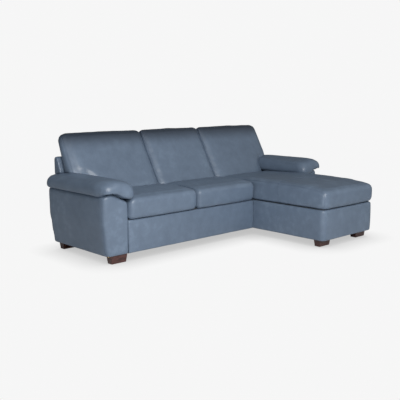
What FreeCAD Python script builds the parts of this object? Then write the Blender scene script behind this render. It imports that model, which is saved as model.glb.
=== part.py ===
import FreeCAD, Part
import math
import os

os.makedirs("parts", exist_ok=True)
Vector = FreeCAD.Vector

# Driving dimensions in millimetres.
# X runs along the sofa from the inner face of the left arm, Y from the front panel to the back,
# Z from the floor.

# Seats and the split between the two units
seat_width = 660.0
sofa_seats = 2
unit_gap = 2.0
fit = 0.5

# How far cutting shapes reach past what they cut, a little and a lot, and the least radius of soft edges
past = 5.0
far_past = 100.0
least_radius = 4.0

# Base
base_bottom = 58.0
base_top = 300.0
panel_thickness = 22.0
panel_top_radius = 10.0
panel_edge_radius = 4.0
panel_back_radius = 1.0
seat_back_y = 528.0
chaise_reach = 729.0
chaise_overlap = 20.0
chaise_corner_radius = 38.0
chaise_panel_return = 105.0
board = 22.0
rail_top = 284.0
centre_rail_height = 120.0
deck_thickness = 9.5
deck_top = 302.0
dust_cover_thickness = 1.5

# Seat springs
spring_wire = 4.0
spring_loop_radius = 20.0
spring_half_width = 25.0
springs_per_seat = 4
chaise_springs = 8
clip_length = 12.0
clip_width = 12.0
clip_sheet = 1.5
clip_room = 0.2
spring_rest = 14.0

# Back frame, measured on the face that the back cushions lean on
back_slope_deg = 21.9
back_face_y = 642.0
back_face_z = 587.0
back_top = 717.0
back_rear_y = 738.0
back_rear_knee_z = 470.0
back_foot_inset = 26.0
back_side = 155.0
back_skin = 12.0
back_top_front_radius = 10.0
back_top_rear_radius = 24.0
back_edge_radius = 4.0
back_foot_radius = 8.0
back_knee_radius = 200.0
top_rail_height = 60.0
strap_thickness = 3.0
strap_width = 50.0
strap_first_z = 320.0
strap_pitch = 64.0
straps = 5
strap_room = 6.0
post_room = 2.0

# Arms
arm_width = 218.0
arm_bottom_width = 190.0
arm_bulge_z = 300.0
arm_inner_z = 436.0
arm_peak_z = 512.0
arm_peak_x = 150.0
arm_outer_z = 486.0
arm_bulge_x = 217.0
arm_front_y = -3.3
arm_front_radius = 38.0
arm_rear_radius = 24.0
arm_rear_y = 736.0
arm_rear_knee_z = 410.0
arm_rear_inset = 26.0
arm_skin = 14.0
arm_board = 18.0
arm_rail_height = 100.0
arm_top_rail = 40.0

# Radii of an arm's cross-section and how much of its ends' draw-in each side takes, from the outer foot round
# the inside and over the top
arm_radii = (6.0, 3.0, 40.0, 130.0, 34.0, 300.0)
arm_pulls = (0.0, 0.1, 0.35, 0.5, 1.0, 1.0)

# Steps of a rounded edge: share of its radius from the end, and share of its radius drawn in there
edge_steps = ((0.0, 1.0), (0.12, 0.52), (0.4, 0.2), (1.0, 0.0))

# Arm pads
pad_out = 25.0
pad_in = 44.0
pad_top = 603.0
pad_inner_top = 566.0
pad_outer_top = 582.0
pad_outer_bottom = 490.0
pad_inner_bottom = 462.0
pad_crest_x = 107.0
pad_nose = 47.0
pad_tail = 6.0
pad_level_end = 500.0
pad_drop_end = 700.0
pad_drop = 13.0
pad_skin = 10.0
pad_radii = (14.0, 32.0, 72.0, 150.0, 52.0)

# Stations of a pad's nose and tail: distance from the end, drop of the top, draw-in of the inner and
# outer side, and rise of the underside
nose_steps = ((0.0, 52.0, 46.0, 70.0, 8.0), (5.0, 34.0, 27.0, 44.0, 4.0), (20.0, 17.0, 13.0, 24.0, 1.0),
              (50.0, 5.0, 3.0, 8.0, 0.0), (110.0, 0.0, 0.0, 0.0, 0.0))
tail_steps = ((30.0, 4.0, 3.0, 5.0, 0.0), (8.0, 16.0, 12.0, 18.0, 0.0), (0.0, 30.0, 24.0, 36.0, 0.0))

# Seat cushions
seat_overhang = 27.0
seat_undercut = 7.0
seat_rear_y = 412.0
seat_front_z = 464.0
seat_crest_y = 190.0
seat_crest_z = 486.0
seat_rear_z = 472.0
seat_edge = 40.0
seat_crown = 3.0
cushion_gap = 3.0
cushion_skin = 8.0

# Chaise cushion
chaise_cushion_overhang = 14.0
chaise_cushion_side = 4.0
chaise_edge = 50.0
chaise_front_z = 456.0
chaise_shoulder_y = -520.0
chaise_shoulder_z = 482.0
chaise_crest_y = -60.0
chaise_crest_z = 490.0
chaise_notch_gap = 8.0

# The hollow that an arm pad's inner lip presses into a seat cushion's side: distance in, and height
lip_steps = ((50.0, 500.0), (36.0, 470.0), (18.0, 452.0), (0.0, 430.0))

# Back cushions
front_slope_deg = 30.5
cushion_front_y = 431.0
cushion_front_z = 433.0
cushion_knee_z = 452.0
cushion_foot_y = 418.0
cushion_rear_top = 878.0
cushion_front_top = 886.0
cushion_back_gap = 1.0
back_wing = 125.0
back_edge = 40.0
back_outer_edge = 64.0
back_top_pull = 0.7
back_outer_top_pull = 0.85
back_crown = 4.0
wing_clearance = 1.0

# Feet, hidden legs and their bolts
foot_top_width = 142.0
foot_bottom_width = 126.0
foot_top_depth = 62.0
foot_bottom_depth = 50.0
foot_edge_radius = 3.0
arm_foot_inset_x = 80.0
arm_foot_inset_y = 40.0
chaise_foot_inset_left = 108.0
chaise_foot_inset_right = 72.0
chaise_foot_inset_y = 88.0
rear_foot_inset_y = 36.0
leg_top_radius = 22.0
leg_bottom_radius = 17.0
leg_setback = 300.0
bolt_radius = 4.0
bolt_clearance = 0.3
foot_bolt_depth = 30.0
foot_bolt_grip = 14.0
arm_bolt_radius = 5.0
arm_bolt_head = 10.0
arm_bolt_head_height = 6.0
arm_bolt_z = 120.0
arm_bolt_ys = (120.0, 420.0)

# Connectors that hang the chaise unit on the sofa unit
connector_ys = (140.0, 430.0)
connector_width = 60.0
connector_plate = 5.0
connector_pin_radius = 6.0
connector_hole_clearance = 0.6
connector_grip = 50.0
connector_tongue = 46.0
socket_height = 10.0

# Places worked out from the dimensions above
unit_split_x = sofa_seats * seat_width
sofa_end_x = unit_split_x - unit_gap / 2
chaise_left_x = unit_split_x + unit_gap / 2
right_arm_x = unit_split_x + seat_width
centre_x = right_arm_x / 2
chaise_right_x = right_arm_x + chaise_overlap
chaise_front_y = -chaise_reach
rail_front_y = panel_thickness + fit
rail_back_y = seat_back_y - board
deck_bottom = deck_top - deck_thickness
cushion_bottom = deck_top + fit
dust_bottom = base_bottom - dust_cover_thickness
pad_front_y = arm_front_y - pad_nose
pad_rear_y = arm_rear_y + pad_tail
pad_middle_z = (pad_inner_bottom + pad_inner_top) / 2
back_front_y = seat_back_y + fit
back_slope = math.tan(math.radians(back_slope_deg))
front_slope = math.tan(math.radians(front_slope_deg))
top_rail_z = back_top - back_skin - fit - top_rail_height
wood_floor = base_bottom + arm_board + fit


def back_face(z):
    """Y of the back frame's padded face at height z."""
    return back_face_y + (z - back_face_z) * back_slope


# Helpers

def inset_corners(corners, insets):
    """Corners of a closed outline after side i, from corner i to the next, has moved inwards by insets[i]."""
    count = len(corners)
    lines = []
    for i in range(count):
        (ax, ay), (bx, by) = corners[i], corners[(i + 1) % count]
        length = math.hypot(bx - ax, by - ay)
        ux, uy = (bx - ax) / length, (by - ay) / length
        lines.append((ax - uy * insets[i], ay + ux * insets[i], ux, uy))
    moved = []
    for i in range(count):
        px, py, pu, pv = lines[i - 1]
        qx, qy, qu, qv = lines[i]
        along = ((qx - px) * qv - (qy - py) * qu) / (pu * qv - pv * qu)
        moved.append((px + pu * along, py + pv * along))
    return moved


def bend(before, corner, after, radius):
    """Start, middle and end of the arc that rounds a corner, and never takes more than half of either side."""
    cx, cy = corner
    ux, uy = before[0] - cx, before[1] - cy
    wx, wy = after[0] - cx, after[1] - cy
    ulen, wlen = math.hypot(ux, uy), math.hypot(wx, wy)
    ux, uy, wx, wy = ux / ulen, uy / ulen, wx / wlen, wy / wlen
    half_turn = (math.pi - math.acos(max(-1.0, min(1.0, ux * wx + uy * wy)))) / 2
    reach = min(radius * math.tan(half_turn), 0.49 * min(ulen, wlen))
    radius = reach / math.tan(half_turn)
    mx, my = ux + wx, uy + wy
    depth = (radius / math.cos(half_turn) - radius) / math.hypot(mx, my)
    return ((cx + ux * reach, cy + uy * reach), (cx + mx * depth, cy + my * depth),
            (cx + wx * reach, cy + wy * reach))


def rounded_wire(corners, radii, place):
    """A closed wire of lines and arcs round the corners; place turns a flat point into a point in space."""
    count = len(corners)
    bends = []
    for i in range(count):
        arc = bend(corners[i - 1], corners[i], corners[(i + 1) % count], radii[i])
        bends.append([place(*point) for point in arc])
    edges = []
    for i in range(count):
        edges.append(Part.Arc(*bends[i]).toShape())
        edges.append(Part.LineSegment(bends[i][2], bends[(i + 1) % count][0]).toShape())
    return Part.Wire(edges)


def block(x0, x1, y0, y1, z0, z1):
    """A plain block between two opposite corners."""
    return Part.makeBox(x1 - x0, y1 - y0, z1 - z0, Vector(x0, y0, z0))


def slab(corners, z0, z1):
    """A flat plate with an outline of (x, y) corners, from z0 to z1."""
    wire = Part.makePolygon([Vector(x, y, z0) for x, y in corners + corners[:1]])
    return Part.Face(wire).extrude(Vector(0, 0, z1 - z0))


def side_prism(corners, x0, x1, radii=None):
    """A solid with a side outline of (y, z) corners, running from x0 to x1."""
    if radii:
        wire = rounded_wire(corners, radii, lambda y, z: Vector(x0, y, z))
    else:
        wire = Part.makePolygon([Vector(x0, y, z) for y, z in corners + corners[:1]])
    return Part.Face(wire).extrude(Vector(x1 - x0, 0, 0))


def upright(x, y, z0, z1, radius):
    """A round bar standing from z0 to z1."""
    return Part.makeCylinder(radius, z1 - z0, Vector(x, y, z0))


def crossbar(x0, x1, y, z, radius):
    """A round bar lying along X from x0 to x1."""
    return Part.makeCylinder(radius, x1 - x0, Vector(x0, y, z), Vector(1, 0, 0))


def mirrored(shapes):
    """The right-hand twins of left-hand shapes."""
    return [shape.mirror(Vector(centre_x, 0, 0), Vector(1, 0, 0)) for shape in shapes]


def bored(shape, bores):
    """A shape with each of the bores taken out."""
    for bore in bores:
        shape = shape.cut(bore)
    return shape


nodes = {}


def add(node, shapes):
    """Keeps a node's solids until the part's box is known."""
    nodes[node] = [solid for shape in shapes for solid in shape.Solids]


# Feet, hidden legs and their bolts

def foot(x, y, top_z):
    """A square block foot that tapers to the floor, centred on x, y, with a bore for its bolt."""
    wires = []
    for z, width, depth in ((0.0, foot_bottom_width, foot_bottom_depth),
                            (top_z, foot_top_width, foot_top_depth)):
        corners = [(x - width / 2, y - depth / 2), (x + width / 2, y - depth / 2),
                   (x + width / 2, y + depth / 2), (x - width / 2, y + depth / 2)]
        wires.append(rounded_wire(corners, [foot_edge_radius] * 4, lambda a, b, z=z: Vector(a, b, z)))
    return Part.makeLoft(wires, True, True).cut(bolt_bore(x, y, top_z - foot_bolt_depth, top_z))


def leg(x, y, top_z):
    """A round tapered leg out of sight under the base, with a bore for its bolt."""
    cone = Part.makeCone(leg_bottom_radius, leg_top_radius, top_z, Vector(x, y, 0))
    return cone.cut(bolt_bore(x, y, top_z - foot_bolt_depth, top_z))


def bolt_bore(x, y, z0, z1):
    """The bore that a foot's bolt takes between two heights."""
    return upright(x, y, z0, z1, bolt_radius + bolt_clearance)


def wood_bore(x, y, into_z):
    """The bore of a foot's bolt from under the dust cover into the wood that starts at into_z."""
    return bolt_bore(x, y, dust_bottom - fit, into_z + foot_bolt_grip + fit)


def foot_bolt(x, y, top_z, into_z):
    """The hanger bolt of a foot or leg: one half in it and the other in the wood above."""
    return upright(x, y, top_z - foot_bolt_depth, into_z + foot_bolt_grip, bolt_radius)


# Seat springs: zigzag wires whose end bars lie in sheet steel clips on the rails

def zigzag(length, place):
    """A zigzag spring with round turns on both sides; place turns (along, across) into a point."""
    turns = max(2, round(length / (2 * spring_loop_radius)))
    pitch = length / turns
    points = []
    for i in range(turns + 1):
        side = spring_half_width if i % 2 else -spring_half_width
        points += [(pitch * i, side), (pitch * i, -side)]
    edges = []
    last = place(*points[0])
    for before, corner, after in zip(points, points[1:], points[2:]):
        arc = [place(*point) for point in bend(before, corner, after, spring_loop_radius)]
        edges.append(Part.LineSegment(last, arc[0]).toShape())
        edges.append(Part.Arc(*arc).toShape())
        last = arc[2]
    edges.append(Part.LineSegment(last, place(*points[-1])).toShape())
    start = place(*points[0])
    across = (place(*points[1]) - start).normalize().cross(Vector(0, 0, 1)) * (spring_wire / 2)
    up = Vector(0, 0, spring_wire / 2)
    profile = Part.makePolygon([start - across - up, start + across - up, start + across + up,
                                start - across + up, start - across - up])
    return Part.Wire(edges).makePipeShell([profile], True, False, 1)


def clip_outline():
    """Side outline of a clip: along the spring from its end bar, and up from the rail."""
    hollow = spring_wire / 2 + clip_room
    roof = 2 * hollow + clip_sheet
    return [(-clip_length, 0.0), (hollow + clip_sheet, 0.0), (hollow + clip_sheet, roof + clip_sheet),
            (-hollow, roof + clip_sheet), (-hollow, roof), (hollow, roof), (hollow, clip_sheet),
            (-clip_length, clip_sheet)]


spring_z = rail_top + clip_sheet + clip_room + spring_wire / 2


def lengthwise_spring(x, y0, y1):
    """A spring from front to back at x, and its two clips."""
    spring = zigzag(y1 - y0, lambda along, across: Vector(x + across, y0 + along, spring_z))
    clips = []
    for end, way in ((y0, 1), (y1, -1)):
        wire = Part.makePolygon([Vector(x - clip_width / 2, end + way * a, rail_top + z)
                                 for a, z in clip_outline() + clip_outline()[:1]])
        clips.append(Part.Face(wire).extrude(Vector(clip_width, 0, 0)))
    return spring, clips


def crosswise_spring(y, x0, x1):
    """A spring from side to side at y, and its two clips."""
    spring = zigzag(x1 - x0, lambda along, across: Vector(x0 + along, y + across, spring_z))
    clips = []
    for end, way in ((x0, 1), (x1, -1)):
        wire = Part.makePolygon([Vector(end + way * a, y - clip_width / 2, rail_top + z)
                                 for a, z in clip_outline() + clip_outline()[:1]])
        clips.append(Part.Face(wire).extrude(Vector(0, clip_width, 0)))
    return spring, clips


# The back: a padded cover round posts, a top rail and straps

def back_outline(inset, extra, z0, z1):
    """Side outline of the back between two heights, drawn in by inset, and by extra more at the front."""
    front = inset + extra
    knee_z = back_face_z + (back_front_y - back_face_y) / back_slope
    corners = [(back_front_y + front, z0)]
    if z0 < knee_z:
        low = [(back_rear_y - inset - back_foot_inset, z0), (back_rear_y - inset, back_rear_knee_z)]
    else:
        corners = [(back_face(z0) + front, z0)]
        low = [(back_rear_y - inset, z0)]
    corners += low + [(back_rear_y - inset, z1), (back_face(z1) + front, z1)]
    if z0 < knee_z:
        corners.append((back_front_y + front, knee_z))
    return corners


def pad_notch(x_arm, x_pad, room):
    """The space that an arm and its pad take from what stands between or over them, with room round it."""
    y0, y1 = seat_rear_y - far_past, back_rear_y + far_past
    far = -arm_width - pad_out - far_past
    wires = []
    for y in (pad_level_end, pad_drop_end, y1):
        sink = pad_drop * (y - pad_level_end) / (pad_drop_end - pad_level_end)
        wires.append(pad_section(y, sink, 0.0, 0.0, 0.0, -room))
    notch = block(far, x_arm, y0, y1, 0.0, pad_middle_z)
    notch = notch.fuse(block(far, x_pad[0], y0, y1, x_pad[1], pad_middle_z))
    notch = notch.fuse(Part.Face(wires[0]).extrude(Vector(0, y0 - pad_level_end, 0)))
    return notch.fuse(Part.makeLoft(wires, True, True))


def back_body(x0, x1, inset, extra, z0, z1, room):
    """The back's solid between x0 and x1, with the arm and pad taken out of its left end."""
    body = side_prism(back_outline(inset, extra, z0, z1), x0 + inset, x1 - inset)
    lip = (pad_in + fit + inset, pad_inner_bottom - fit - inset)
    return body.cut(pad_notch(fit + inset, lip, room + inset))


def back_cover(x0, x1):
    """The padded cover of a back, rounded along its top, with a hollow for the frame."""
    corners = back_outline(0.0, 0.0, base_bottom, back_top)
    radii = [back_edge_radius, back_foot_radius, back_knee_radius, back_top_rear_radius,
             back_top_front_radius, back_edge_radius]
    outer = side_prism(corners, x0, x1, radii)
    outer = outer.cut(pad_notch(fit, (pad_in + fit, pad_inner_bottom - fit), wing_clearance))
    inner = back_body(x0, x1, back_skin, 0.0, base_bottom + back_skin, back_top - back_skin, wing_clearance)
    return outer.cut(inner)


def back_posts(xs):
    """Upright boards inside the back, cut to its side outline."""
    outline = back_outline(back_skin + fit, strap_room, base_bottom + back_skin + fit, top_rail_z - fit)
    return [side_prism(outline, x, x + board) for x in xs]


def back_top_rail(x0, x1):
    """The rail along the top of the back, resting on the posts."""
    outline = back_outline(back_skin + fit, 0.0, top_rail_z, back_top - back_skin - fit)
    return side_prism(outline, x0 + back_skin + fit, x1 - back_skin - fit)


def back_straps(x0, x1):
    """Webbing straps across the front edges of the posts."""
    made = []
    for i in range(straps):
        z = strap_first_z + i * strap_pitch
        near = back_skin + fit + strap_room
        corners = [(back_face(z) + near - strap_thickness, z), (back_face(z) + near, z),
                   (back_face(z + strap_width) + near, z + strap_width),
                   (back_face(z + strap_width) + near - strap_thickness, z + strap_width)]
        made.append(side_prism(corners, x0, x1))
    return made


# The arms, made on the left and mirrored for the right

def arm_section(y, inset, draw):
    """Cross-section of an arm at y: upright inside, leaning and bulging outside, with an arched top."""
    corners = [(-arm_bottom_width, base_bottom), (0.0, base_bottom), (0.0, arm_inner_z),
               (-arm_peak_x, arm_peak_z), (-arm_width, arm_outer_z), (-arm_bulge_x, arm_bulge_z)]
    insets = [inset + draw * pull for pull in arm_pulls]
    radii = [max(radius - inset, least_radius) for radius in arm_radii]
    return rounded_wire(inset_corners(corners, insets), radii, lambda x, z: Vector(x, y, z))


def arm_side(inset):
    """A block whose rear face leans like the rear of the arm, inset from it."""
    rear = arm_rear_y - inset
    foot, front, top = rear - arm_rear_inset, arm_front_y - far_past, arm_peak_z + far_past
    corners = [(front, -far_past), (foot, -far_past), (foot, base_bottom), (rear, arm_rear_knee_z),
               (rear, top), (front, top)]
    return side_prism(corners, -arm_width - far_past, far_past)


def arm_prism(y0, y1, inset):
    """The arm's cross-section, inset, run straight from y0 to y1."""
    return Part.Face(arm_section(y0, inset, 0.0)).extrude(Vector(0, y1 - y0, 0))


def arm_cover():
    """The padded leather cover of an arm, open underneath."""
    rounds = [(arm_front_y + reach * arm_front_radius, share * arm_front_radius)
              for reach, share in edge_steps]
    rounds += [(arm_rear_y - reach * arm_rear_radius, share * arm_rear_radius)
               for reach, share in reversed(edge_steps)]
    wires = [arm_section(y, 0.0, draw) for y, draw in rounds]
    outer = Part.makeLoft(wires, True, True).common(arm_side(0.0))
    y0, y1 = arm_front_y + arm_skin, arm_rear_y
    inner = arm_prism(y0, y1, arm_skin).fuse(
        block(-arm_bottom_width + arm_skin, -arm_skin, y0, y1, base_bottom - past, wood_floor))
    return outer.cut(inner.common(arm_side(arm_skin)))


arm_y0 = arm_front_y + arm_skin + fit
arm_y1 = arm_rear_y - arm_rear_inset - arm_skin - fit
arm_wood_x = -arm_skin - fit


def arm_boards():
    """The front and rear boards of an arm, cut to its cross-section."""
    made = []
    for y in (arm_y0, arm_y1 - arm_board):
        below = block(-arm_width - past, past, y - past, y + arm_board + past, 0.0, wood_floor)
        made.append(arm_prism(y, y + arm_board, arm_skin + fit).cut(below))
    return made


def arm_rails():
    """The bottom board, the inner rail and the top rail that join an arm's boards."""
    y0, y1 = arm_y0 + arm_board, arm_y1 - arm_board
    bottom = block(-arm_bottom_width + arm_skin + fit, arm_wood_x, arm_y0, arm_y1, base_bottom,
                   base_bottom + arm_board)
    inner = block(arm_wood_x - board, arm_wood_x, y0, y1, wood_floor, wood_floor + arm_rail_height)
    x = -arm_peak_x + arm_top_rail
    top = block(x - arm_top_rail, x, y0, y1, arm_inner_z - arm_top_rail / 2, arm_inner_z + arm_top_rail / 2)
    return [bottom, inner, top]


def pad_section(y, sink, inner, outer, lift, inset):
    """Cross-section of an arm pad at y, before the arm is taken out of its underside."""
    left, right = -arm_width - pad_out + outer, pad_in - inner
    corners = [(left, pad_outer_bottom + lift), (right, pad_inner_bottom + lift),
               (right, pad_inner_top - sink), (-pad_crest_x, pad_top - sink), (left, pad_outer_top - sink)]
    radii = [max(radius - inset, least_radius) for radius in pad_radii]
    return rounded_wire(inset_corners(corners, [inset] * 5), radii, lambda x, z: Vector(x, y, z))


def pad_form(inset):
    """An arm pad: a long pillow with a rounded nose, its underside shaped by the arm's arched top."""
    wires = []
    for reach, sink, inner, outer, lift in nose_steps:
        wires.append(pad_section(pad_front_y + inset + reach, sink, inner, outer, lift, inset))
    wires.append(pad_section(pad_level_end, 0.0, 0.0, 0.0, 0.0, inset))
    wires.append(pad_section(pad_drop_end, pad_drop, 0.0, 0.0, 0.0, inset))
    for reach, sink, inner, outer, lift in tail_steps:
        wires.append(pad_section(pad_rear_y - inset - reach, pad_drop + sink, inner, outer, lift, inset))
    arm = arm_prism(pad_front_y - past, pad_rear_y + past, -fit - inset)
    return Part.makeLoft(wires, True, True).cut(arm)


# Cushions

def pillow(first, last, x0, x1, crown, skin):
    """A padded form across X, drawn in at both ends by a rounded edge and fuller by crown in the middle.

    Each end is (outline, width of the edge). An outline lists (corner, radius, pull, swell): how much of
    the draw-in and of the crown the side takes that starts at the corner. skin moves every side inwards."""
    stations = [(first[0], x0 + skin + reach * first[1], share * first[1], 0.0)
                for reach, share in edge_steps]
    stations.append((last[0], (x0 + x1) / 2, 0.0, crown))
    stations += [(last[0], x1 - skin - reach * last[1], share * last[1], 0.0)
                 for reach, share in reversed(edge_steps)]
    wires = []
    for outline, x, draw, full in stations:
        insets = [pull * draw - swell * full + skin for corner, radius, pull, swell in outline]
        corners = inset_corners([corner for corner, radius, pull, swell in outline], insets)
        radii = [max(radius - skin, least_radius) for corner, radius, pull, swell in outline]
        wires.append(rounded_wire(corners, radii, lambda y, z, x=x: Vector(x, y, z)))
    return Part.makeLoft(wires, True, True)


def cushion_pair(node, form):
    """A cushion's leather cover and the foam core inside it; form makes the shape for a given skin."""
    add(node + "_cover", [form(0.0).cut(form(cushion_skin))])
    add(node + "_foam", [form(cushion_skin + fit)])


seat_outline = [((-seat_overhang + seat_undercut, cushion_bottom), 32.0, 0.35, 0.0),
                ((seat_rear_y, cushion_bottom), 18.0, 0.4, 0.0),
                ((seat_rear_y, seat_rear_z), 30.0, 0.9, 1.0),
                ((seat_crest_y, seat_crest_z), 700.0, 0.9, 1.0),
                ((-seat_overhang, seat_front_z), 44.0, 0.8, 1.0)]

chaise_nose_y = chaise_front_y - chaise_cushion_overhang
chaise_outline = [((chaise_nose_y + seat_undercut, cushion_bottom), 32.0, 0.35, 0.0),
                  ((seat_rear_y, cushion_bottom), 18.0, 0.4, 0.0),
                  ((seat_rear_y, seat_rear_z), 30.0, 0.8, 1.0),
                  ((chaise_crest_y, chaise_crest_z), 2500.0, 0.8, 1.0),
                  ((chaise_shoulder_y, chaise_shoulder_z), 600.0, 0.8, 1.0),
                  ((chaise_nose_y, chaise_front_z), 48.0, 0.7, 1.0)]


def cushion_rear(z):
    """Y of a back cushion's rear face at height z."""
    return back_face(z) - cushion_back_gap


def cushion_front(z):
    """Y of a back cushion's front face at height z."""
    return cushion_front_y + (z - cushion_front_z) * front_slope


def back_cushion_outline(top_pull):
    """Side outline of a back cushion; top_pull is how much of an end's draw-in its top takes."""
    return [((cushion_foot_y, cushion_bottom), 58.0, 0.3, 0.0),
            ((cushion_rear(cushion_bottom), cushion_bottom), 34.0, 0.2, 0.0),
            ((cushion_rear(cushion_rear_top), cushion_rear_top), 18.0, top_pull, 1.0),
            ((cushion_front(cushion_front_top), cushion_front_top), 60.0, 0.55, 1.0),
            ((cushion_front(cushion_knee_z), cushion_knee_z), 130.0, 0.55, 0.0)]


def lip_cut(skin):
    """What the drooping inner lip of the left arm pad takes from a seat cushion beside it."""
    x = cushion_gap / 2 + skin
    low, high = lip_steps[-1][1] - skin, seat_crest_z + far_past
    corners = [(x + lip_steps[0][0], high)] + [(x + along, z - skin) for along, z in lip_steps]
    corners += [(x - far_past, low), (x - far_past, high)]
    y0, y1 = pad_front_y - chaise_notch_gap - skin, back_rear_y
    wire = Part.makePolygon([Vector(a, y0, b) for a, b in corners + corners[:1]])
    return Part.Face(wire).extrude(Vector(0, y1 - y0, 0))


def seat_form(i):
    """The i-th seat cushion's shape for a given skin."""
    x0, x1 = i * seat_width + cushion_gap / 2, (i + 1) * seat_width - cushion_gap / 2

    def form(skin):
        end = (seat_outline, seat_edge)
        body = pillow(end, end, x0, x1, seat_crown, skin)
        return body.cut(lip_cut(skin)) if i == 0 else body
    return form


def chaise_form(skin):
    """The chaise cushion: long, and wider in front of the arm."""
    x0, x1 = unit_split_x + cushion_gap / 2, chaise_right_x + chaise_cushion_side
    end = (chaise_outline, chaise_edge)
    body = pillow(end, end, x0, x1, seat_crown, skin)
    behind = block(right_arm_x - cushion_gap / 2 - skin, x1 + far_past, arm_front_y - chaise_notch_gap - skin,
                   seat_rear_y + far_past, 0.0, seat_crest_z + far_past)
    return body.cut(behind).cut(mirrored([lip_cut(skin)])[0])


def back_form(i):
    """The i-th back cushion's shape for a given skin; the first one's wing reaches over the arm."""
    x0, x1 = i * seat_width + cushion_gap / 2, (i + 1) * seat_width - cushion_gap / 2
    last = (back_cushion_outline(back_top_pull), back_edge)
    first = last
    if i == 0:
        x0 = -back_wing
        first = (back_cushion_outline(back_outer_top_pull), back_outer_edge)

    def form(skin):
        body = pillow(first, last, x0, x1, back_crown, skin)
        if i == 0:
            side = pad_in + cushion_gap + skin
            body = body.cut(pad_notch(side, (side, 0.0), wing_clearance + skin))
        return body
    return form


cushion_pair("seat_cushion_left", seat_form(0))
cushion_pair("seat_cushion_right", seat_form(1))
cushion_pair("chaise_cushion", chaise_form)
cushion_pair("back_cushion_left", back_form(0))
cushion_pair("back_cushion_middle", back_form(1))
for part in ("_cover", "_foam"):
    add("back_cushion_right" + part, mirrored(nodes["back_cushion_left" + part]))


# Arms, left and right

arm_bore_x = arm_wood_x - board - past
arm_rail_bores = [crossbar(arm_bore_x, board + past, y, arm_bolt_z, arm_bolt_radius + bolt_clearance)
                  for y in arm_bolt_ys]
arm_foot_x = -arm_foot_inset_x
arm_foot_ys = (arm_foot_inset_y, arm_rear_y - arm_rear_inset - rear_foot_inset_y)
arm_foot_bores = [wood_bore(arm_foot_x, y, base_bottom) for y in arm_foot_ys]


def arm_bolts():
    """The bolts that hold an arm to the base, their heads on the seat side."""
    made = []
    for y in arm_bolt_ys:
        head_x = fit + board
        shank = crossbar(arm_wood_x - board, head_x, y, arm_bolt_z, arm_bolt_radius)
        head = crossbar(head_x, head_x + arm_bolt_head_height, y, arm_bolt_z, arm_bolt_head)
        made.append(shank.fuse(head).removeSplitter())
    return made


def arm_feet(ys):
    """The block feet under an arm at the given places along Y."""
    return [foot(arm_foot_x, y, base_bottom) for y in ys]


def arm_foot_bolts(ys):
    """The bolts of the feet under an arm."""
    return [foot_bolt(arm_foot_x, y, base_bottom, base_bottom) for y in ys]


def arm_pieces():
    """Every solid of the left arm, by name."""
    rails = arm_rails()
    return {
        "arm_cover": [bored(arm_cover(), arm_rail_bores)],
        "arm_boards": arm_boards(),
        "arm_rails": [bored(rails[0], arm_foot_bores), bored(rails[1], arm_rail_bores), rails[2]],
        "arm_pad_cover": [pad_form(0.0).cut(pad_form(pad_skin))],
        "arm_pad_fill": [pad_form(pad_skin + fit)],
        "arm_bolts": arm_bolts(),
    }


for name, solids in arm_pieces().items():
    add("left_" + name, solids)
    add("right_" + name, mirrored(solids))


# Backs, left and right of the split

def post_places(x1, middles):
    """Left faces of the back's posts: past the arm pad's lip, centred on the middles, and at the split."""
    first = pad_in + fit + back_skin + fit + post_room
    return [first] + [x - board / 2 for x in middles] + [x1 - back_skin - fit - board]


post_y = (back_front_y + back_rear_y - back_foot_inset) / 2
sofa_post_xs = post_places(sofa_end_x, [seat_width])
sofa_post_bores = [wood_bore(x + board / 2, post_y, base_bottom + back_skin) for x in sofa_post_xs[1:]]


def back_pieces(x1, post_xs, bores):
    """Every solid of a back whose left end is at the left arm and whose right end is at x1."""
    return {
        "back_cover": [bored(back_cover(-back_side, x1), bores)],
        "back_posts": [bored(post, bores) for post in back_posts(post_xs)],
        "back_top_rail": [back_top_rail(-back_side, x1)],
        "back_webbing": back_straps(post_xs[0], post_xs[-1] + board),
    }


for name, solids in back_pieces(sofa_end_x, sofa_post_xs, sofa_post_bores).items():
    add("sofa_" + name, solids)

chaise_back_end = 2 * centre_x - chaise_left_x
chaise_post_xs = post_places(chaise_back_end, [])
chaise_post_bores = [wood_bore(chaise_post_xs[-1] + board / 2, post_y, base_bottom + back_skin)]
for name, solids in back_pieces(chaise_back_end, chaise_post_xs, chaise_post_bores).items():
    add("chaise_" + name, mirrored(solids))


# Sofa base

sofa_legs = [(seat_width, leg_setback, dust_bottom, base_bottom),
             (sofa_end_x - board / 2, leg_setback, dust_bottom, base_bottom)]
sofa_legs += [(x + board / 2, post_y, base_bottom, base_bottom + back_skin) for x in sofa_post_xs[1:]]
sofa_leg_bores = [wood_bore(x, y, into) for x, y, top, into in sofa_legs]


def rail(x0, x1, y0, y1, height_to, bores=()):
    """A base rail standing on the dust cover's level."""
    return bored(block(x0, x1, y0, y1, base_bottom, height_to), bores)


side_y0, side_y1 = rail_front_y + board + fit, rail_back_y - fit
add("sofa_front_rail", [rail(fit, sofa_end_x, rail_front_y, rail_front_y + board, rail_top)])
add("sofa_back_rail", [rail(fit, sofa_end_x, rail_back_y, seat_back_y, rail_top)])
add("sofa_end_rails", [rail(fit, fit + board, side_y0, side_y1, rail_top, arm_rail_bores),
                       rail(sofa_end_x - board, sofa_end_x, side_y0, side_y1, rail_top, sofa_leg_bores)])
add("sofa_centre_rail", [rail(seat_width - board / 2, seat_width + board / 2, side_y0, side_y1,
                              base_bottom + centre_rail_height, sofa_leg_bores)])
panel = [(0.0, base_bottom), (panel_thickness, base_bottom), (panel_thickness, base_top), (0.0, base_top)]
panel_radii = [panel_edge_radius, panel_back_radius, panel_edge_radius, panel_top_radius]
add("sofa_front_panel", [side_prism(panel, fit, sofa_end_x, panel_radii)])
add("sofa_seat_deck", [block(fit, sofa_end_x, rail_front_y, seat_back_y, deck_bottom, deck_top)])
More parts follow.
